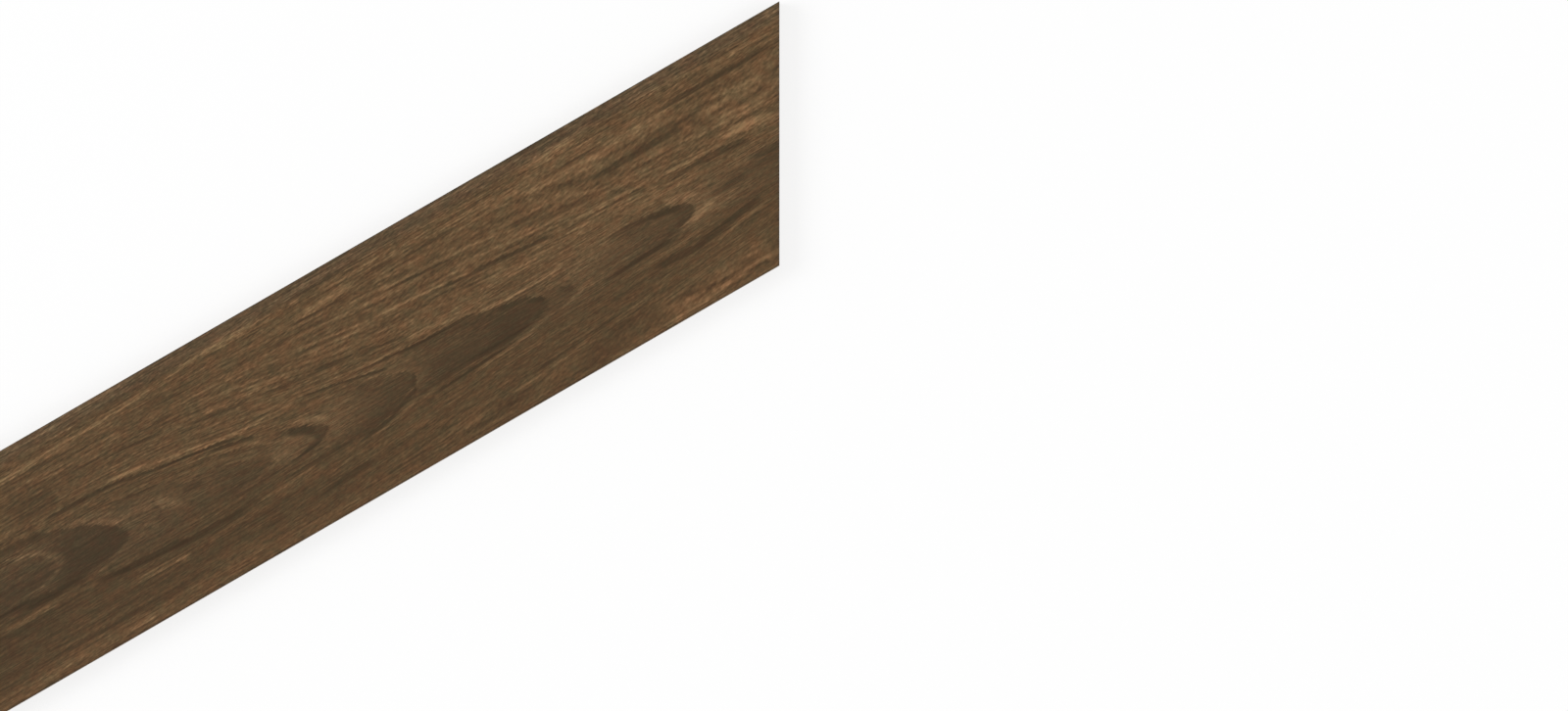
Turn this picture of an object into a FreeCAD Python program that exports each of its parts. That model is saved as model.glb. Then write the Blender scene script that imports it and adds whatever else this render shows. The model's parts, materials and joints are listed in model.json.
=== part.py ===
import FreeCAD, Part
import math
import os

# Chevron wall tile, left-hand: one fired porcelain plank, mitred at both ends to a parallelogram.
# It lies face up. Millimetres, +X along the length, +Y across, +Z from the back to the face.
# The origin is the middle of the back.

# Driving dimensions of the tile
overall_length = 450.0      # from sharp tip to sharp tip, along the long edges
face_width = 75.0           # square across the long edges
thickness = 9.0
mitre_angle = 60.0          # degrees, between a long edge and a mitred end, at the sharp tip
arris_bevel = 0.5           # ground bevel round the face, as high as it is wide

# Driving dimensions of the keyed back
rim_land = 6.0              # plain land between the outermost pockets and the tile's edges
rib_land = 3.0              # plain land between one pocket and the next
pocket_length = 18.0        # wanted length of a pocket, which is evened out to fill the row
pocket_width = 13.5         # wanted width of a pocket, which is evened out to fill the back
pocket_depth = 0.8
pocket_draft = 30.0         # degrees that the pocket walls lean open, to leave the pressing die
pocket_corner_radius = 1.5  # at the pocket's floor

# Worked out from the driving dimensions
mitre_lean = 1.0 / math.tan(math.radians(mitre_angle))
mitre_slant = 1.0 / math.sin(math.radians(mitre_angle))
edge_length = overall_length - face_width * mitre_lean
wall_spread = pocket_depth * math.tan(math.radians(pocket_draft))


def tile_point(along, across, height):
    """Point on the tile: along runs parallel to the long edges, from the slanting middle line."""
    return FreeCAD.Vector(along + across * mitre_lean, across, height)


def slanted_corners(along_span, across_span, height):
    """Corners of a parallelogram whose sides run with the tile's edges, anticlockwise."""
    along_low, along_high = along_span
    across_low, across_high = across_span
    return [
        tile_point(along_low, across_low, height),
        tile_point(along_high, across_low, height),
        tile_point(along_high, across_high, height),
        tile_point(along_low, across_high, height),
    ]


def rounded_outline(corners, radius):
    """Closed wire through the corners, each rounded by an arc of the radius."""
    arcs = []
    for index, corner in enumerate(corners):
        back = (corners[index - 1] - corner).normalize()
        ahead = (corners[(index + 1) % len(corners)] - corner).normalize()
        half_angle = back.getAngle(ahead) / 2
        inward = (back + ahead).normalize()
        reach = radius / math.tan(half_angle)
        middle = corner + inward * (radius / math.sin(half_angle) - radius)
        arcs.append((corner + back * reach, middle, corner + ahead * reach))
    edges = []
    for index, (start, middle, end) in enumerate(arcs):
        edges.append(Part.Arc(start, middle, end).toShape())
        next_start = arcs[(index + 1) % len(arcs)][0]
        edges.append(Part.makeLine(end, next_start))
    return Part.Wire(edges)


def even_spans(room, wanted, land):
    """Equal spans that fill the room, an even number of them, so that a land runs down the middle."""
    pairs = max(1, round((room + land) / (wanted + land) / 2))
    count = 2 * pairs
    span = (room - (count - 1) * land) / count
    starts = [-room / 2 + index * (span + land) for index in range(count)]
    return [(start, start + span) for start in starts]


def widened(span, spread):
    return (span[0] - spread, span[1] + spread)


def key_pocket(along_mouth, across_mouth):
    """Shallow pocket for the adhesive: rounded corners, and walls that lean open to the back."""
    along_floor = widened(along_mouth, -wall_spread * mitre_slant)
    across_floor = widened(across_mouth, -wall_spread)
    mouth = slanted_corners(along_mouth, across_mouth, 0)
    floor = slanted_corners(along_floor, across_floor, pocket_depth)
    outlines = [
        rounded_outline(mouth, pocket_corner_radius + wall_spread),
        rounded_outline(floor, pocket_corner_radius),
    ]
    return Part.makeLoft(outlines, True, True)


def bevelled_blank():
    """The plank itself: ground square on all four sides, with the bevel round the face."""
    outline = slanted_corners(
        (-edge_length / 2, edge_length / 2),
        (-face_width / 2, face_width / 2),
        0,
    )
    back_face = Part.Face(Part.makePolygon(outline + outline[:1]))
    plank = back_face.extrude(FreeCAD.Vector(0, 0, thickness))
    face = max(plank.Faces, key=lambda candidate: candidate.CenterOfMass.z)
    return plank.makeChamfer(arris_bevel, face.Edges)


def key_pockets():
    """Rows of pockets over the back, inside the rim."""
    row_room = edge_length - 2 * rim_land * mitre_slant
    back_room = face_width - 2 * rim_land
    along_spans = even_spans(row_room, pocket_length * mitre_slant, rib_land * mitre_slant)
    across_spans = even_spans(back_room, pocket_width, rib_land)
    return [key_pocket(along, across) for across in across_spans for along in along_spans]


tile = bevelled_blank().cut(key_pockets())
os.makedirs("parts", exist_ok=True)
tile.exportStep("parts/chevron_tile.step")
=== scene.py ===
import json
import math

import bpy
import numpy as np
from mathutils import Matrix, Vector


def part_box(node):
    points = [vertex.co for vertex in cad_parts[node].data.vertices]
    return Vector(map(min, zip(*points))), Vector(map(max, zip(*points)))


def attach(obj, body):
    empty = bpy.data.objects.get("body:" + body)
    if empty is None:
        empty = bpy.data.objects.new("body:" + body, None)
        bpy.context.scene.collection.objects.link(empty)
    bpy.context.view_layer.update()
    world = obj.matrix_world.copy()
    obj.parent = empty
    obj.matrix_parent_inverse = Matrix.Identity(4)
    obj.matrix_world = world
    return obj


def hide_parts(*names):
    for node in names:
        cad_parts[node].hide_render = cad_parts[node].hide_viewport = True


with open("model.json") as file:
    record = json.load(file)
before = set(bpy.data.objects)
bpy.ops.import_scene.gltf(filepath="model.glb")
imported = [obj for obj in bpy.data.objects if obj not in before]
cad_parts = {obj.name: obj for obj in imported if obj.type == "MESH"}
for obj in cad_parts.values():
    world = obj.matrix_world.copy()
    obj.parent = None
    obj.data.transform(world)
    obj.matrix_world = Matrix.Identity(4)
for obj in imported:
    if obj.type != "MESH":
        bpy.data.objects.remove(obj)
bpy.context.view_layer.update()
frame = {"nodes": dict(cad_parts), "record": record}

# Chevron wall tile with a matt walnut-effect print, lying face up on a pale floor.
# Shapes are worked out in millimetres along (x) and across (y) the tile, and turned into metres at the end.

MM = 0.001

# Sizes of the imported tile
tile_low, tile_high = (Vector(corner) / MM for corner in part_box("chevron_tile"))
mounts = {mount["name"]: mount for mount in frame["record"]["mounts"]}
end_normal = mounts["mitred_end_right"]["axis"]
lean = -end_normal[1] / end_normal[0]            # how far the mitre runs along for each mm across
slant = math.hypot(1.0, lean)
half_width = (tile_high.y - tile_low.y) / 2
half_edge = tile_high.x - half_width * lean
thickness = tile_high.z

# Face of the tile
bevel = 0.5                 # as on the solid
cells_along = 248
cells_across = 364
relief_depth = 0.07         # deepest hollow of the brushed grain, below the face
sheet_size = 207.5          # square on which the surface is laid out for baking
sheet_gap = 2.0

# Print of the face, with levels of brown as display values of its green from 0 to 255
middle_level = 73.0
darkest_level = 40.0
lightest_level = 112.0
edge_darkening = 12.0       # painted shade of the ground bevel, in levels
glaze_sheen = 0.007         # light that the matt glaze itself gives back
streak_reach = 0.85         # reach of a streak from its middle, in half lengths
streak_spread = 1.12        # reach of a streak across, in half widths
streak_edge = 0.95          # squared share of those reaches beyond which there is no change
streak_core = 0.3           # squared share of them inside which the change is full

# Stage
paper_white = 0.75          # share of plain white in the floor as it is seen
sky_light = 0.5
lamp_size = 1.6             # metres
floor_reach = 6.0           # metres

# Camera: straight down, turned so that the mitred end stands upright in the picture
picture_turn = -30.0        # degrees
picture_centre = (168.2, -63.9)
picture_width = 513.9       # mm seen across the picture, at the face
lens = 100.0
sensor = 36.0

# Cathedral figure of the print, as bands between growth rings that come to a rounded tip on the heart
# line: tips of the inner and outer ring, softness of each, change of level, and how far back it shows
bands = [
    (-225, -204, 6, 2, -9, 30), (-204, -190, 2, 6, 6, 20), (-178, -160, 8, 1.5, -7, 26),
    (-158, -140, 2, 6, 6, 18), (-124, -104, 6, 1.5, -10, 30), (-104, -72, 1.5, 1, -6, 30),
    (-73.5, -69, 1.5, 1.5, 5, 16), (-69.6, -47, 2, 1, -13, 26), (-47, -41, 1, 4, 3, 14),
    (-44, -24, 4, 5, 2, 20), (-18, 4, 5, 4, -6, 18), (4, 20, 4, 2, 4, 14), (21.5, 27, 1.2, 0.8, -10, 13),
    (27, 36, 1, 5, 6, 14), (44, 60.5, 8, 0.8, -8, 26), (60.5, 64, 0.8, 2, 4, 16), (64, 98, 4, 8, -10, 36),
    (94, 110.5, 8, 1, -13, 50), (110.5, 120, 1, 1.3, -3, 14), (120, 129, 1.3, 3, 4, 10),
    (146, 161, 6, 2, -4, 20), (161, 167.5, 2, 0.8, -11, 17), (167.5, 177, 1, 4, 8, 18),
    (188, 216, 6, 6, -3, 20),
]

# Streaks of the print: from (x, y) to (x, y), half width, and change of level
streaks = [
    # Upper flank
    (-95, 28.8, -38, 29.2, 1.3, 12), (-55, 29, -8, 30.8, 0.9, 12), (-18, 30.6, 18, 33.4, 0.6, 12),
    (8, 32.6, 48, 31.8, 0.5, 9), (-57, 32.6, -43, 32.8, 0.4, 9), (-72, 35.6, -48, 35.6, 0.6, 6),
    (-46, 32.6, 0, 33.6, 1.2, -6), (-72, 24.5, -52, 23.5, 0.8, 6), (-66, 22.4, -52, 21.8, 0.8, 5),
    (-78, 27, -50, 26.8, 0.5, -7), (-82, 17, -58, 16, 4, -8), (-52, 20.6, -41, 20.2, 0.5, 7),
    (-52, 19.5, -42, 19.2, 0.4, -8), (-24, 20.2, -14, 19.8, 0.7, -9), (-42, 18.6, -18, 15.8, 0.6, -12),
    (-18, 15.2, 12, 10.6, 0.7, -12), (-24, 17.4, 4, 14.2, 0.5, 7), (-8, 15.2, 4, 14, 0.7, 6),
    (0, 17.6, 10, 17, 0.8, 6), (2, 13.4, 22, 12.4, 0.6, 9), (-46, 11.4, -28, 9.8, 0.6, 11),
    (28, 33, 62, 33, 0.5, -9), (30, 26.6, 64, 26.9, 1.1, 14), (28, 25.2, 58, 24.9, 0.4, -12),
    (38, 30.4, 72, 30, 0.8, 6), (63, 30.6, 70, 30.4, 0.6, 9), (68, 25.8, 106, 27, 0.4, -12),
    (84, 28.4, 116, 28.6, 0.8, 9), (58, 20.3, 94, 18, 0.5, -12), (60, 20.9, 82, 19.8, 0.3, 7),
    (24, 17.6, 54, 13.6, 0.6, -11), (26, 15.2, 56, 12.6, 0.5, 9), (8, 10.8, 52, 6, 0.8, -11),
    (44, 6.8, 68, 3, 0.5, -11), (54, 14.6, 98, 11, 0.5, 14), (72, 12.2, 132, 7.6, 0.8, -14),
    (78, 15.4, 122, 13, 1.4, 9), (108, 17.2, 132, 16.9, 0.9, -12), (86, 22, 104, 21.4, 1, 6),
    (96, 11.2, 105, 10.6, 0.7, 9), (64, 23, 78, 21.6, 1, -7), (114, 25.7, 158, 26.3, 0.4, -12),
    (166, 26.6, 224, 26.4, 1, -18), (114, 23.8, 156, 22.6, 1.8, 12), (140, 23.6, 178, 22.4, 1.6, 5),
    (160, 20.4, 184, 19.6, 1, -7), (136, 17.8, 184, 17.6, 1.2, -15), (150, 13.3, 180, 13, 0.4, -12),
    (112, 12.5, 132, 12, 0.4, 7), (138, 11.4, 158, 10.8, 0.8, 4), (146, 15, 168, 14.2, 0.7, 5),
    (182, 13.4, 210, 12, 1.8, 11), (196, 19.4, 214, 18.6, 1.2, 9), (178, 22, 204, 21.4, 1, 5),
    (162, 33.5, 200, 31, 0.5, 12), (190, 31.2, 220, 30.2, 0.5, 11), (146, 33.8, 168, 33.8, 1, -8),
    (130, 32.4, 148, 32.6, 0.5, 7),
    # Heart
    (-96, 8.8, -66, 7, 1.4, -14), (-72, 10.2, -50, 10, 0.8, -15), (-60, 10, -34, 9.2, 0.5, -18),
    (-44, 9.4, -16, 4.9, 0.6, -20), (-28, 7, 4, 1.7, 0.6, -20), (-58, 8.3, -32, 7.4, 0.4, -9),
    (-54, 5.2, -28, 1.6, 0.4, -11), (-48, 11.8, -26, 8.8, 0.7, 11), (-32, 9.7, -8, 5.9, 0.8, 12),
    (-15, 5.5, 6, 3.8, 0.5, 12), (-67, 6.3, -54, 3.2, 0.7, 7), (-58, 3.2, -45, -2.8, 0.6, 5),
    (-26, 3.2, -10, 2, 0.5, 6), (-6, 3.8, 26, 3.3, 0.4, 12), (-6, 4.7, 16, 4.4, 0.3, -8),
    (0, 5.4, 28, 4.8, 0.5, 6), (-14, 3.4, 8, -0.8, 0.6, -18), (-12, 0.4, 10, -5, 0.6, -13),
    (-14, 2, 8, -2.6, 0.5, 9), (-13, -2.4, 6, -7, 0.5, 9), (-2, -1.8, 12, -5.4, 0.4, 6),
    (8, 1.5, 36, 0.5, 0.4, -9), (22, 3.8, 41, 0.3, 0.4, -18), (34, 1.6, 57, -3.3, 0.5, -18),
    (20, 4.2, 42, 2.2, 0.4, 9), (38, 2.2, 68, 0.9, 0.4, 9), (40, 1.5, 68, -0.3, 0.4, -11),
    (54, 0.1, 94, -1.6, 0.5, -18), (14, -0.8, 31, -7.4, 1.1, 9), (13, -4, 25, -8.4, 1.7, -14),
    (-18, -14.6, 14, -13.8, 0.4, -12), (8, -14, 26, -11.8, 0.5, -14), (4, -9, 15, -10.8, 1.3, 8),
    (17.5, -10, 22.5, -10.8, 0.9, 9), (-36, -2.2, -25, -7.2, 1.8, 9), (-42, -6, -37, -9, 1.2, 5),
    (-26, -3.4, -16, -4.8, 1.1, -14), (-102, -9.8, -82, -10, 0.5, -14), (-98, -10.6, -60, -12.6, 1, -15),
    (-92, -12.2, -72, -13, 0.8, -15), (-96, -8.8, -76, -7.4, 0.4, 9), (70, 2.2, 93, -1.6, 0.5, 9),
    (85, -1.3, 108, -2.9, 0.6, 12), (98, -2.8, 126, -1.8, 0.7, 12), (92, -3.8, 108, -5.6, 0.8, -9),
    (103, -5.8, 111, -9.4, 0.9, -9), (76, -14.2, 106, -13.4, 0.5, -8), (110, -5.4, 119, -7, 0.8, 5),
    (112, -14.6, 125, -11.2, 0.6, 9), (118, -11.4, 134, -12, 0.7, 9), (114, -8, 121, -11, 1.2, -8),
    (124, -13.4, 162, -12.4, 0.8, -18), (134, -1.7, 158, -2.6, 0.9, -14), (150, -2.4, 166, -5, 1.1, -12),
    (156, -0.2, 173, -3.4, 1.3, 11), (163, -10.8, 175, -8, 1.2, 7), (98, 5.3, 124, 4.5, 0.5, 9),
    (122, 8.9, 160, 7.9, 0.7, 12), (118, 7.6, 164, 7, 0.4, -11), (158, 7.4, 192, 6.4, 0.5, 9),
    (160, 4.6, 180, 5.3, 0.7, -12), (170, 5.4, 198, 3.4, 1.2, -16), (186, 9, 212, 4.6, 1.8, 11),
    (170, -6.4, 190, -6.8, 1, -9), (188, -2, 208, -3.6, 1.4, -12), (184, 7.6, 204, 7, 1.2, 7),
    (176, -9, 190, -9.4, 1.2, 3),
    # Lower flank
    (-104, -15, -73, -15, 1, 14), (-78, -15.4, -56, -16.3, 0.6, 6), (-67, -13.8, -53, -12.3, 0.5, 9),
    (-66, -15.2, -50, -17.4, 1, -12), (-62, -16.2, -26, -18.4, 1.3, -16),
    (-42, -18.8, -4, -19.6, 1.1, -14), (-28, -21.4, -6, -20.3, 0.3, -11), (-57, -21.4, -28, -23, 1.1, 9),
    (-39, -22.5, -31, -23.5, 0.7, 9), (-34, -22.9, 4, -21.3, 0.9, 7), (-9, -19.5, 22, -18.2, 0.4, 12),
    (2, -17.2, 38, -17.2, 0.5, -12), (-16, -18.4, -2, -18.8, 0.7, -8), (8, -16.4, 30, -15, 0.8, 7),
    (32, -19.4, 51, -16.6, 0.6, -16), (44, -17.6, 62, -11.6, 0.8, -14), (57, -13.4, 61, -8, 0.9, -8),
    (34, -20.7, 60, -15.9, 0.5, 12), (49, -16.7, 67, -16, 0.9, 9), (57, -15.6, 84, -14.8, 0.4, 9),
    (57, -17.7, 99, -15.5, 0.5, -18), (74, -18.2, 106, -15.4, 0.6, 12), (98, -15.6, 113, -13.4, 0.6, 9),
    (138, -16, 163, -14.8, 0.6, 11), (156, -15.2, 172, -13.2, 0.6, 9), (142, -18, 168, -19.2, 1.3, -14),
    (156, -19.2, 192, -14.6, 1.2, -16), (162, -21.2, 194, -16.2, 0.5, 12), (-64, -35, -51, -34.8, 1, 7),
    (-110, -34.8, -40, -35, 1.4, 5), (-94, -29.2, -54, -28.6, 0.4, 7), (-80, -24.6, -70, -24.5, 0.4, 9),
    (-104, -30.6, -18, -30.2, 0.7, -7), (-15, -26.7, -1, -26.2, 0.5, 7), (10, -27.6, 40, -25.8, 1.2, -8),
    (16, -23.6, 42, -20.8, 0.5, 7), (42, -25.6, 62, -23.4, 0.8, 7), (76, -30.5, 118, -28.1, 0.5, 12),
    (88, -28.4, 136, -25, 0.5, -12), (130, -25.8, 152, -23.2, 0.5, 9), (134, -36.5, 174, -33.8, 0.9, 12),
    (158, -34.8, 188, -32.2, 0.7, 12), (146, -33.8, 182, -31.4, 0.5, -9), (34, -32.4, 64, -32.2, 0.4, -9),
    (58, -32, 78, -31.4, 1, 6), (68, -28.6, 82, -28.4, 0.6, 7),
    # Left end
    (-205, 30, -150, 29.4, 0.8, 10), (-180, 26, -130, 27.4, 0.6, -10), (-165, 22, -110, 20.6, 0.9, 8),
    (-190, 17, -140, 18.6, 0.6, -11), (-150, 13.6, -104, 11.2, 0.6, -13), (-170, 11, -122, 9.8, 0.5, 9),
    (-186, 8, -146, 6, 0.6, -12), (-142, 6.4, -104, 8.8, 0.5, 8), (-206, -13.6, -160, -14.4, 0.8, -13),
    (-170, -16, -122, -15, 0.7, 10), (-152, -18.6, -104, -20.4, 1, -12), (-215, -20, -170, -22, 0.7, 9),
    (-196, -26, -140, -25, 0.6, -9), (-165, -29.6, -118, -31, 0.6, 9), (-220, -33, -150, -34, 1.2, 7),
    (-136, -24.4, -100, -25.6, 0.6, 9), (-150, 33.4, -104, 32.2, 0.6, -8), (-128, 1.6, -108, -1, 0.7, 7),
    # Broad patches
    (70, 7, 215, 5, 3, 4), (150, 17.4, 190, 16.8, 3.4, -7), (-58, 2, 0, 1, 2.5, -4),
    (98, -34.4, 150, -30.5, 3.4, -9), (-26, -26.5, 46, -24, 4, -4), (-122, -20, -72, -18, 6, -4),
    (158, -11.4, 186, -9, 2.5, 8), (150, -28, 190, -27, 3, 4), (40, 21, 82, 19, 3, 4),
    (20, 26, 62, 26, 2.5, 3), (100, 27, 142, 27.5, 3, 4), (118, 32, 148, 32, 2, 5),
    (-80, 36.5, -20, 36.5, 1.5, 6), (56, 3.2, 104, 1.6, 1.7, 7), (176, -4.6, 206, -5.4, 1.8, -6),
    (44, -33, 82, -30, 2, 4), (0, 32.5, 26, 32.5, 1, 5), (114, 36.8, 148, 36.8, 1, -9),
    (182, 20, 208, 18, 2.5, 4), (-26, 26.2, 4, 26, 2, -6), (118, 14, 142, 13.6, 1.2, -7),
    (180, 8.8, 208, 7.6, 1.6, 7), (0, -4, 16, -5.6, 1.4, -6), (138, 20.6, 160, 20.2, 1.2, 6),
    (98, -27.4, 122, -26.4, 1.4, 6), (120, 31.2, 148, 31.4, 1.2, 5), (0, 31.4, 26, 31.4, 1, 5),
    (140, 2.6, 182, 2, 1.6, 5), (-44, 36.6, -16, 36.6, 1, 7), (138, -33.4, 182, -32, 1.6, 6),
    (116, -4.8, 144, -4, 1.2, 5), (118, -29.4, 142, -27, 1.4, -5),
]


class Field:
    """A number that varies over a surface, as one output of a node tree."""

    def __init__(self, tree, socket):
        self.tree = tree
        self.socket = socket

    def math(self, operation, *values):
        node = self.tree.nodes.new("ShaderNodeMath")
        node.operation = operation
        for place, value in enumerate(values):
            if isinstance(value, Field):
                self.tree.links.new(value.socket, node.inputs[place])
            else:
                node.inputs[place].default_value = value
        return Field(self.tree, node.outputs[0])

    def __add__(self, other):
        return self.math("ADD", self, other)

    def __sub__(self, other):
        return self.math("SUBTRACT", self, other)

    def __rsub__(self, other):
        return self.math("SUBTRACT", other, self)

    def __mul__(self, other):
        return self.math("MULTIPLY", self, other)

    def __truediv__(self, other):
        return self.math("DIVIDE", self, other)

    def __neg__(self):
        return self * -1.0

    __radd__ = __add__
    __rmul__ = __mul__


def smooth(value, low, high, top=1.0):
    """0 below low, top above high, and an easy slope between."""
    if isinstance(value, Field):
        node = value.tree.nodes.new("ShaderNodeMapRange")
        node.interpolation_type = "SMOOTHSTEP"
        node.clamp = False      # the slope itself stays between its ends
        value.tree.links.new(value.socket, node.inputs["Value"])
        node.inputs["From Min"].default_value = low
        node.inputs["From Max"].default_value = high
        node.inputs["To Max"].default_value = top
        return Field(value.tree, node.outputs["Result"])
    t = np.clip((value - low) / (high - low), 0, 1)
    return top * t * t * (3 - 2 * t)


def positive(value):
    """The value where it is above 0, and 0 elsewhere."""
    if isinstance(value, Field):
        return value.math("MAXIMUM", value, 0.0)
    return np.maximum(value, 0.0)


# Figure of the print, in formulas that hold for points and for nodes alike

def heart_line(x):
    """Height of the middle of the cathedral figure."""
    return -2.5 - 4.5 * smooth(x, -82, -35) - 2.5 * smooth(x, -35, 20) + 3.0 * smooth(x, 110, 170)


def heart_side(x, y):
    """Distance from the heart line, evened out between the wide upper and the narrow lower flank."""
    off = y - heart_line(x)
    narrow = smooth(x, -45, -20) - smooth(x, 27, 40)
    far = smooth(x, 45, 65)
    wide_above = 1.25 - 0.25 * narrow - 0.1 * far - 0.3 * smooth(x, 112, 150)
    wide_below = 1.15 - 0.35 * narrow - 0.4 * far + 0.2 * smooth(x, 78, 98)
    return positive(off) / wide_above + positive(-off) / wide_below


def ring_tip(x, side):
    """Place along the tile where the growth ring through this point comes to its rounded tip."""
    square = side * side
    blunt = 0.0005 + 0.0042 * smooth(x, 35, 55)
    return x + 0.355 * square + blunt * square * square


def grain_line(x, y):
    """Height at which the grain line through this point starts at the left of the tile."""
    above = smooth(y - heart_line(x), -2, 3)
    fall = 14.0 * (1 - smooth(y, 2, 32)) * smooth(x, -60, 70)
    fall = fall + 5.0 * smooth(y, -2, 4) * (1 - smooth(y, 12, 26)) * smooth(x, 60, 210)
    rise = 6.0 * smooth(-y, 10, 20) * (1 - smooth(-y, 28, 37)) * smooth(x, -20, 120)
    rise = rise + 5.0 * smooth(-y, 10, 18) * (1 - smooth(-y, 26, 36)) * smooth(x, 110, 210)
    return y + fall * above - rise


def ground_level(x, y):
    """Level of brown without bands and streaks: warmer above the heart, quiet and dark below."""
    above = smooth(y - heart_line(x), -6, 8)
    left = 1 - smooth(x, -60, 20)
    level = 69.0 + 8.0 * above - 4.0 * left + 1.5 * smooth(x, 60, 160)
    return level - 2.5 * smooth(y, 31, 35) + (4.5 + 5.0 * left) * smooth(-y, 28, 35)


# Mesh

def lattice_noise(x, y, seed):
    """Smooth noise from -1 to 1 with features about one unit across."""
    size = 256
    lattice = np.random.default_rng(seed).uniform(-1, 1, (size, size))
    column = np.floor(x).astype(int)
    row = np.floor(y).astype(int)
    fx = smooth(x - column, 0, 1)
    fy = smooth(y - row, 0, 1)

    def at(dx, dy):
        return lattice[(row + dy) % size, (column + dx) % size]

    low = at(0, 0) * (1 - fx) + at(1, 0) * fx
    high = at(0, 1) * (1 - fx) + at(1, 1) * fx
    return low * (1 - fy) + high * fy


def relief(x, y):
    """Depth of the brushed grain below the face, from 0 to 1."""
    line = grain_line(x, y)
    ridges = lattice_noise(x / 40, line / 1.5, 21) + 0.7 * lattice_noise(x / 16, line / 0.6, 22)
    broad = lattice_noise(x / 60, y / 9, 23)
    return np.clip(0.5 + 0.22 * ridges + 0.2 * broad, 0, 1)


def face_grid():
    """Points of the face in rows along the tile: along, across and height."""
    inner_edge = half_edge - bevel * slant
    inner_width = half_width - bevel
    along = np.linspace(-inner_edge, inner_edge, cells_along + 1)
    across = np.linspace(-inner_width, inner_width, cells_across + 1)
    along, across = np.meshgrid(along, across)
    x = along + across * lean
    return x, across, thickness - relief_depth * relief(x, across)


def sheet_place(corners, part):
    """Places of faces on the sheet for baking, in mm: the tile's face in two strips, the rest smaller."""
    x, across, height = np.moveaxis(corners, -1, 0)
    along = x - across * lean + half_edge
    across = across + half_width
    length = 2 * half_edge
    width = 2 * half_width
    if part == "face":
        second = along.mean(axis=-1, keepdims=True) > half_edge
        places = [along - half_edge * second, across + (width + sheet_gap) * second]
        return sheet_gap + np.stack(places, -1)
    level = 2 * (width + sheet_gap) + sheet_gap
    if part == "back":
        return np.stack([sheet_gap + (length - along) / 2, level + across / 2], -1)
    runs = {
        "lower": along,
        "right": across * slant,
        "upper": length - along,
        "left": (width - across) * slant,
    }
    start = sheet_gap if part in ("lower", "upper") else 2 * sheet_gap + length / 3
    level = level + width / 2 + sheet_gap
    if part in ("upper", "left"):
        level = level + thickness / 3 + sheet_gap
    return np.stack([start + runs[part] / 3, level + height / 3], -1)


def build_tile():
    x, y, z = face_grid()
    points = np.stack([x, y, z], -1).reshape(-1, 3)
    rows, columns = x.shape
    index = np.arange(rows * columns).reshape(rows, columns)
    corners = [index[:-1, :-1], index[:-1, 1:], index[1:, 1:], index[1:, :-1]]
    quads = np.stack(corners, -1).reshape(-1, 4)

    # Border of the face, anticlockwise from the lower left corner, and the foot of the bevel below it
    rim = np.concatenate([index[0, :-1], index[:-1, -1], index[-1, :0:-1], index[:0:-1, 0]])
    across = points[rim, 1]
    along = points[rim, 0] - across * lean
    across = across * half_width / (half_width - bevel)
    along = along * half_edge / (half_edge - bevel * slant)
    foot = np.stack([along + across * lean, across, np.full(len(rim), thickness - bevel)], -1)
    foot_index = len(points) + np.arange(len(rim))
    bevel_quads = np.stack([rim, foot_index, np.roll(foot_index, -1), np.roll(rim, -1)], -1)

    # Keyed back, as on the solid
    cad_mesh = frame["nodes"]["chevron_tile"].data
    cad_points = np.empty(len(cad_mesh.vertices) * 3)
    cad_mesh.vertices.foreach_get("co", cad_points)
    cad_points = np.round(cad_points.reshape(-1, 3) / MM, 3) + 0.0
    first_back = len(points) + len(foot)
    back_points = {}
    back_faces = []
    for polygon in cad_mesh.polygons:
        corners = [tuple(cad_points[i]) for i in polygon.vertices]
        if max(corner[2] for corner in corners) > thickness / 2:
            continue
        for corner in corners:
            back_points.setdefault(corner, first_back + len(back_points))
        if len(set(corners)) == len(corners):
            back_faces.append([back_points[corner] for corner in corners])

    # Four ground sides, each from its stretch of the bevel's foot down to two corners of the back
    turns = np.cumsum([0, cells_along, cells_across, cells_along, cells_across])
    sides = []
    for start, stop in zip(turns[:-1], turns[1:]):
        stretch = np.arange(start, stop + 1) % len(rim)
        below = [tuple(np.round((*foot[i, :2], 0.0), 3) + 0.0) for i in (stretch[0], stretch[-1])]
        sides.append(foot_index[stretch[::-1]].tolist() + [back_points[corner] for corner in below])

    everything = np.vstack([points, foot, np.array(list(back_points))])
    faces = quads.tolist() + bevel_quads.tolist() + sides + back_faces
    mesh = bpy.data.meshes.new("tile")
    mesh.from_pydata((everything * MM).tolist(), [], faces)
    body = np.ones(len(faces), np.int32)
    body[:len(quads) + len(bevel_quads)] = 0
    mesh.polygons.foreach_set("material_index", body)
    rounded = np.zeros(len(faces), bool)
    rounded[:len(quads)] = True
    mesh.polygons.foreach_set("use_smooth", rounded)

    groups = [("face", np.vstack([quads, bevel_quads]))]
    groups += [(name, [side]) for name, side in zip(("lower", "right", "upper", "left"), sides)]
    groups += [("back", back_faces)]
    places = [sheet_place(everything[np.array(group)], part).reshape(-1, 2) for part, group in groups]
    mesh.uv_layers.new(name="OFBake").data.foreach_set("uv", np.vstack(places).ravel() / sheet_size)
    return bpy.data.objects.new("tile", mesh)


# Materials

def linear(level):
    """Scene-linear value of a display level from 0 to 255."""
    value = level / 255
    return value / 12.92 if value <= 0.04045 else ((value + 0.055) / 1.055) ** 2.4


def colour(red, green, blue, sheen=0.0):
    """Base colour that shows as these display levels once the glaze's own sheen is on it."""
    return (linear(red) - sheen, linear(green) - sheen, linear(blue) - sheen, 1.0)


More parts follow.
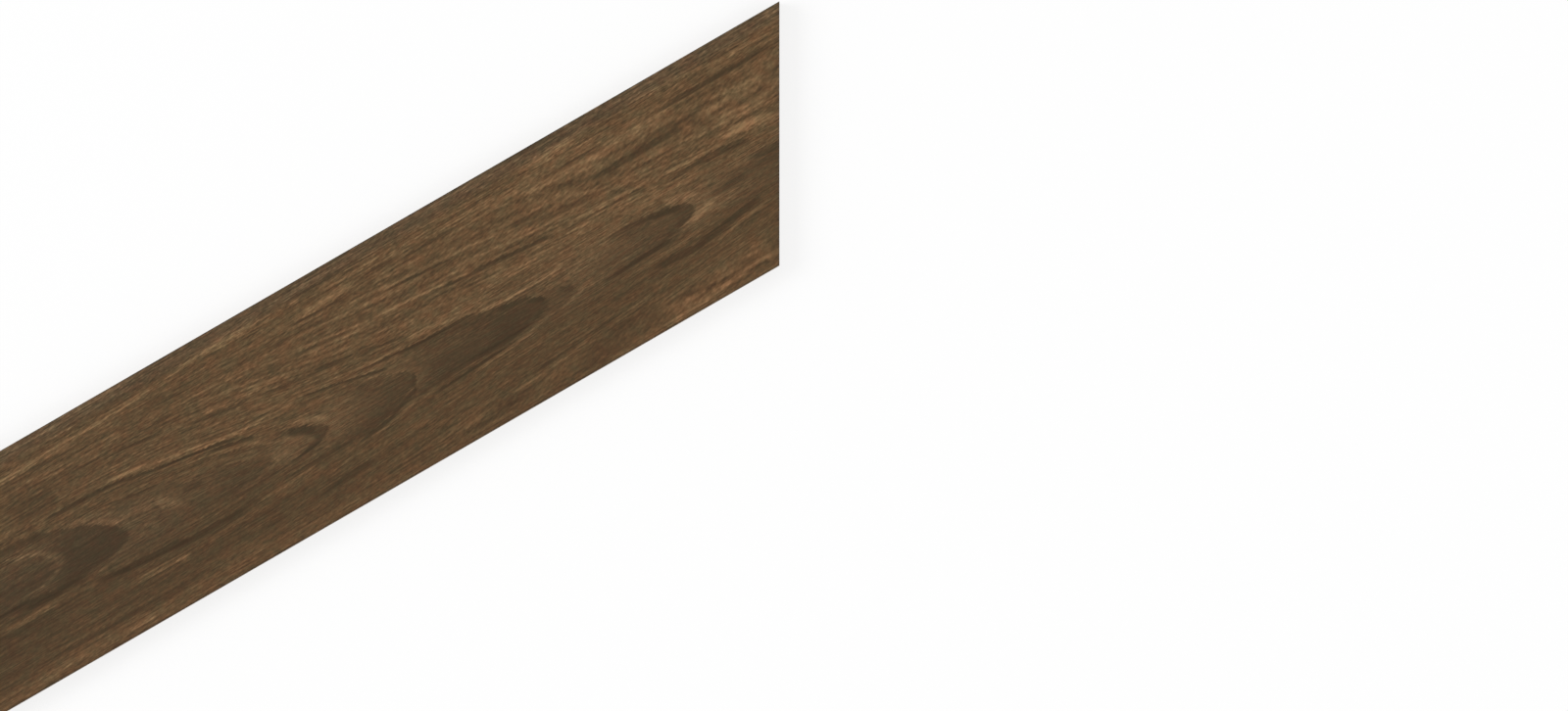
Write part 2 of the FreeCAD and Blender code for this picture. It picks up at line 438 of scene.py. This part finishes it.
def join(tree, *place):
    """Vector of up to three fields or numbers."""
    node = tree.nodes.new("ShaderNodeCombineXYZ")
    for number, value in enumerate(place):
        if isinstance(value, Field):
            tree.links.new(value.socket, node.inputs[number])
        else:
            node.inputs[number].default_value = value
    return node.outputs[0]


class Surface:
    """A new node material with one Principled shader, and the fields that its patterns are made of."""

    def __init__(self, name):
        self.material = bpy.data.materials.new(name)
        self.material.use_nodes = True
        self.tree = self.material.node_tree
        self.shader = self.tree.nodes["Principled BSDF"]
        place = self.tree.nodes.new("ShaderNodeTexCoord")
        scale = self.tree.nodes.new("ShaderNodeVectorMath")
        scale.operation = "SCALE"
        scale.inputs["Scale"].default_value = 1 / MM
        self.tree.links.new(place.outputs["Object"], scale.inputs[0])
        split = self.tree.nodes.new("ShaderNodeSeparateXYZ")
        self.tree.links.new(scale.outputs[0], split.inputs[0])
        self.x, self.y, self.z = (Field(self.tree, output) for output in split.outputs)

    def noise(self, *place, detail=2.0, roughness=0.5):
        """Noise about 0, mostly from -1 to 1, with features about one unit across."""
        where = join(self.tree, *place)
        node = self.tree.nodes.new("ShaderNodeTexNoise")
        node.inputs["Scale"].default_value = 1.0
        node.inputs["Detail"].default_value = detail
        node.inputs["Roughness"].default_value = roughness
        self.tree.links.new(where, node.inputs["Vector"])
        return Field(self.tree, node.outputs["Fac"]) * 4.0 - 2.0

    def ramp(self, field, stops):
        """Colour that follows the field through the stops, each a place and a colour."""
        node = self.tree.nodes.new("ShaderNodeValToRGB")
        elements = node.color_ramp.elements
        while len(elements) < len(stops):
            elements.new(1.0)
        for element, (place, value) in zip(elements, stops):
            element.position = place
            element.color = value
        self.tree.links.new(field.socket, node.inputs["Fac"])
        return node.outputs["Color"]

    def mix(self, share, first, second):
        """First colour where share is 0, second where it is 1."""
        node = self.tree.nodes.new("ShaderNodeMix")
        node.data_type = "RGBA"
        self.tree.links.new(share.socket, node.inputs[0])
        self.tree.links.new(first, node.inputs[6])
        self.tree.links.new(second, node.inputs[7])
        return node.outputs[2]

    def saturate(self, colour, share):
        """The colour with that share of its saturation."""
        node = self.tree.nodes.new("ShaderNodeHueSaturation")
        self.tree.links.new(colour, node.inputs["Color"])
        self.tree.links.new(share.socket, node.inputs["Saturation"])
        return node.outputs["Color"]

    def bump(self, height, strength, distance):
        node = self.tree.nodes.new("ShaderNodeBump")
        node.inputs["Strength"].default_value = strength
        node.inputs["Distance"].default_value = distance
        self.tree.links.new(height.socket, node.inputs["Height"])
        self.tree.links.new(node.outputs["Normal"], self.shader.inputs["Normal"])


class Streaks:
    """A node group that gives the change of level by all streaks of one slope."""

    def __init__(self, slope, strokes):
        self.slope = slope
        self.tree = bpy.data.node_groups.new(f"streaks_{slope:g}", "ShaderNodeTree")
        for name in ("X", "Y"):
            self.tree.interface.new_socket(name, in_out="INPUT", socket_type="NodeSocketFloat")
        self.tree.interface.new_socket("Change", in_out="OUTPUT", socket_type="NodeSocketFloat")
        place = self.tree.nodes.new("NodeGroupInput")
        x, y = (Field(self.tree, place.outputs[name]) for name in ("X", "Y"))
        self.levelled = join(self.tree, x, y - x * slope)
        change = 0.0
        for stroke in strokes:
            change = self.streak(*stroke) + change
        result = self.tree.nodes.new("NodeGroupOutput")
        self.tree.links.new(change.socket, result.inputs["Change"])

    def streak(self, x0, y0, x1, y1, half, change):
        """A streak from one point to another, of even width but for its ends, with soft edges."""
        reach_along = streak_reach * (x1 - x0) / 2
        reach_across = streak_spread * half * math.hypot(1.0, self.slope)
        middle_x = (x0 + x1) / 2
        middle_y = (y0 + y1) / 2 - middle_x * self.slope
        local = self.tree.nodes.new("ShaderNodeVectorMath")
        local.operation = "MULTIPLY_ADD"
        self.tree.links.new(self.levelled, local.inputs[0])
        local.inputs[1].default_value = (1 / reach_along, 1 / reach_across, 0)
        local.inputs[2].default_value = (-middle_x / reach_along, -middle_y / reach_across, 0)
        squared = self.tree.nodes.new("ShaderNodeVectorMath")
        squared.operation = "MULTIPLY"
        self.tree.links.new(local.outputs[0], squared.inputs[0])
        self.tree.links.new(local.outputs[0], squared.inputs[1])
        distance = self.tree.nodes.new("ShaderNodeVectorMath")
        distance.operation = "LENGTH"
        self.tree.links.new(squared.outputs[0], distance.inputs[0])
        return smooth(Field(self.tree, distance.outputs["Value"]), streak_edge, streak_core, change)


def streaks_by_slope():
    """The streaks in lists of one slope each, to one part in a hundred."""
    slopes = {}
    for x0, y0, x1, y1, half, change in streaks:
        slope = round((y1 - y0) / (x1 - x0), 2)
        slopes.setdefault(slope, []).append((x0, y0, x1, y1, half, change))
    return slopes


def band_level(x, tip, inner, outer, inner_blur, outer_blur, change, length):
    """How much one band of the cathedral figure changes the level; it fades out back along its flanks."""
    begins = smooth(tip, inner - inner_blur, inner + inner_blur)
    ends = smooth(tip, outer - outer_blur, outer + outer_blur)
    return (begins - ends) * smooth(x, outer - 1.3 * length, outer - 0.7 * length) * change


def printed_face():
    """Matt glaze with the walnut print: cathedral bands, streaks, lines of grain and a fine stipple."""
    s = Surface("matt_walnut_print")
    line = grain_line(s.x, s.y)
    halfway = (line + s.y) * 0.5

    # Grain from long lines to a fine stipple, which also frays the edges of bands and streaks.
    # Each noise has the length and width of its features in mm, and a slice of its own.
    lines = s.noise(s.x / 110.0, line / 2.2, 5.0, detail=3.0, roughness=0.9)
    thread = s.noise(s.x / 30.0, line / 0.42, 13.0, detail=1.0)
    fibre = s.noise(s.x / 8.0, halfway / 0.62, 9.0, detail=1.0)
    hatch = s.noise(s.x / 2.8, (halfway - s.x * 0.15) / 0.46, 7.0, detail=1.0)
    stipple = s.noise(s.x / 1.3, s.y / 0.8, 17.0, detail=1.0, roughness=0.6)
    wander = s.noise(s.x / 25.0, s.y / 8.0, 3.0, detail=1.0)
    x = s.x + lines + stipple * 0.5
    y = s.y + wander * 0.3 + fibre * 0.1 + hatch * 0.12 + stipple * 0.08

    level = ground_level(s.x, y)
    side = heart_side(x, y)
    tip = ring_tip(x, side)
    for band in bands:
        level = level + band_level(x, tip, *band)
    frayed = y + lines * 0.15
    for slope, strokes in streaks_by_slope().items():
        node = s.tree.nodes.new("ShaderNodeGroup")
        node.node_tree = Streaks(slope, strokes).tree
        s.tree.links.new(x.socket, node.inputs["X"])
        s.tree.links.new(frayed.socket, node.inputs["Y"])
        level = level + Field(s.tree, node.outputs["Change"])

    # Grain is quieter in the darks and below the heart, and livelier along the upper edge
    lively = 0.6 + 0.35 * smooth(level, 55.0, 82.0)
    lively = lively + 0.1 * smooth(y, -10.0, 5.0) + 0.15 * smooth(y, 28.0, 33.0)
    level = level + lines * 9.0 + (thread * 9.0 + fibre * 8.0 + hatch * 11.0 + stipple * 6.0) * lively

    # Lights stand out further than darks
    off = level - middle_level
    level = level + off * off * 0.01 - 2.5

    # Painted shade on the ground bevel: its lower part is darker than the face, which draws a dark line
    # along the edge
    painted_edge_shade = 1.0 - smooth(s.z, thickness - 0.75 * bevel, thickness - 0.25 * bevel)
    level = level - painted_edge_shade * edge_darkening

    tone = (level - darkest_level) / (lightest_level - darkest_level)
    levels = (0.0, 0.278, 0.486, 0.694, 1.0)
    greyer = [(48, 41, 31), (73, 62, 45), (93, 77, 55), (112, 92, 66), (139, 115, 82)]
    redder = [(51, 40, 30), (78, 59, 43), (99, 74, 52), (119, 89, 63), (147, 110, 79)]
    grey_brown = s.ramp(tone, [(place, colour(*rgb, glaze_sheen)) for place, rgb in zip(levels, greyer)])
    red_brown = s.ramp(tone, [(place, colour(*rgb, glaze_sheen)) for place, rgb in zip(levels, redder)])
    redness = 0.5 + s.noise(s.x / 6.0, halfway / 3.0, 31.0, detail=4.0, roughness=0.7) * 0.6
    heart = 1.0 - smooth(side, 4.0, 10.0)
    dull = smooth(y, 31.0, 35.0) + heart * (0.5 - 0.25 * smooth(x, -70.0, 0.0))
    redness = redness - dull * 0.1 + smooth(-y, 26.0, 34.0) * 0.1
    brown = s.mix(smooth(redness, 0.0, 1.0), grey_brown, red_brown)
    strength = 1.0 + 0.007 * smooth(x, -60.0, 20.0) - dull * 0.06
    s.tree.links.new(s.saturate(brown, strength), s.shader.inputs["Base Color"])
    s.tree.links.new((hatch * 0.03 + 0.6).socket, s.shader.inputs["Roughness"])
    s.shader.inputs["Specular IOR Level"].default_value = 0.1
    s.bump(hatch + fibre * 0.5, 0.5, 0.00005)
    return s.material


def fired_body():
    """Porcelain body on the ground sides and the keyed back: brown-grey, finely speckled."""
    s = Surface("porcelain_body")
    speckle = s.noise(s.x / 0.7, s.y / 0.7, s.z / 0.7, detail=3.0)
    cloud = s.noise(s.x / 18.0, s.y / 18.0, s.z / 18.0, detail=2.0)
    tone = speckle * 0.09 + cloud * 0.07 + 0.5
    shades = [(0.0, colour(112, 97, 82)), (0.5, colour(139, 123, 106)), (1.0, colour(164, 149, 132))]
    s.tree.links.new(s.ramp(tone, shades), s.shader.inputs["Base Color"])
    s.tree.links.new((speckle * 0.03 + 0.8).socket, s.shader.inputs["Roughness"])
    s.shader.inputs["Specular IOR Level"].default_value = 0.2
    s.bump(speckle, 0.3, 0.00004)
    return s.material


# Stage

def seen_rays(tree):
    """1 for rays by which the surroundings are seen: straight, in a reflection or through glass."""
    rays = tree.nodes.new("ShaderNodeLightPath")
    straight, mirrored, through = (
        Field(tree, rays.outputs[name])
        for name in ("Is Camera Ray", "Is Glossy Ray", "Is Transmission Ray")
    )
    return straight.math("MAXIMUM", straight.math("MAXIMUM", straight, mirrored), through)


def pale_floor():
    mesh = bpy.data.meshes.new("floor")
    signs = [(-1, -1), (1, -1), (1, 1), (-1, 1)]
    corners = [(floor_reach * along, floor_reach * across, 0) for along, across in signs]
    mesh.from_pydata(corners, [], [(0, 1, 2, 3)])
    material = bpy.data.materials.new("pale_floor")
    material.use_nodes = True
    tree = material.node_tree
    shader = tree.nodes["Principled BSDF"]
    shader.inputs["Base Color"].default_value = (0.96, 0.96, 0.96, 1.0)
    shader.inputs["Roughness"].default_value = 1.0
    shader.inputs["Specular IOR Level"].default_value = 0.0
    mesh.materials.append(material)
    floor = bpy.data.objects.new("floor", mesh)
    bpy.context.scene.collection.objects.link(floor)

    # The floor is seen as white paper on which the shadow is faint
    glow = tree.nodes.new("ShaderNodeEmission")
    blend = tree.nodes.new("ShaderNodeMixShader")
    whiteness = seen_rays(tree) * paper_white
    tree.links.new(whiteness.socket, blend.inputs[0])
    tree.links.new(shader.outputs[0], blend.inputs[1])
    tree.links.new(glow.outputs[0], blend.inputs[2])
    tree.links.new(blend.outputs[0], tree.nodes["Material Output"].inputs["Surface"])


def softbox(name, place, share):
    """Large square lamp aimed at the tile, giving that share of the full light on the floor."""
    data = bpy.data.lights.new(name, "AREA")
    data.size = lamp_size
    lamp = bpy.data.objects.new(name, data)
    place = Vector(place)
    lamp.location = place
    lamp.rotation_mode = "QUATERNION"
    lamp.rotation_quaternion = (-place).to_track_quat("-Z", "Y")
    fall = place.z / place.length
    data.energy = share * math.pi * math.pi * place.length_squared / fall
    lamp.visible_camera = False
    bpy.context.scene.collection.objects.link(lamp)


def studio_light():
    world = bpy.data.worlds.new("studio")
    bpy.context.scene.world = world
    world.use_nodes = True
    tree = world.node_tree
    background = tree.nodes["Background"]
    background.inputs["Color"].default_value = (1.0, 1.0, 1.0, 1.0)
    glow = seen_rays(tree) * (1.0 - sky_light) + sky_light
    tree.links.new(glow.socket, background.inputs["Strength"])
    softbox("key_light", (-1.6, 1.2, 1.9), share=0.34)
    softbox("fill_light", (1.6, -1.0, 1.9), share=0.24)


def camera():
    data = bpy.data.cameras.new("camera")
    data.lens = lens
    data.sensor_width = sensor
    eye = bpy.data.objects.new("camera", data)
    height = thickness + picture_width * lens / sensor
    eye.location = Vector((*picture_centre, height)) * MM
    eye.rotation_euler = (0, 0, math.radians(picture_turn))
    bpy.context.scene.collection.objects.link(eye)
    bpy.context.scene.camera = eye


tile = build_tile()
tile.data.materials.append(printed_face())
tile.data.materials.append(fired_body())
bpy.context.scene.collection.objects.link(tile)
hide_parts("chevron_tile")
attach(tile, "root")

pale_floor()
studio_light()
camera()
bpy.context.scene.view_settings.view_transform = "Standard"
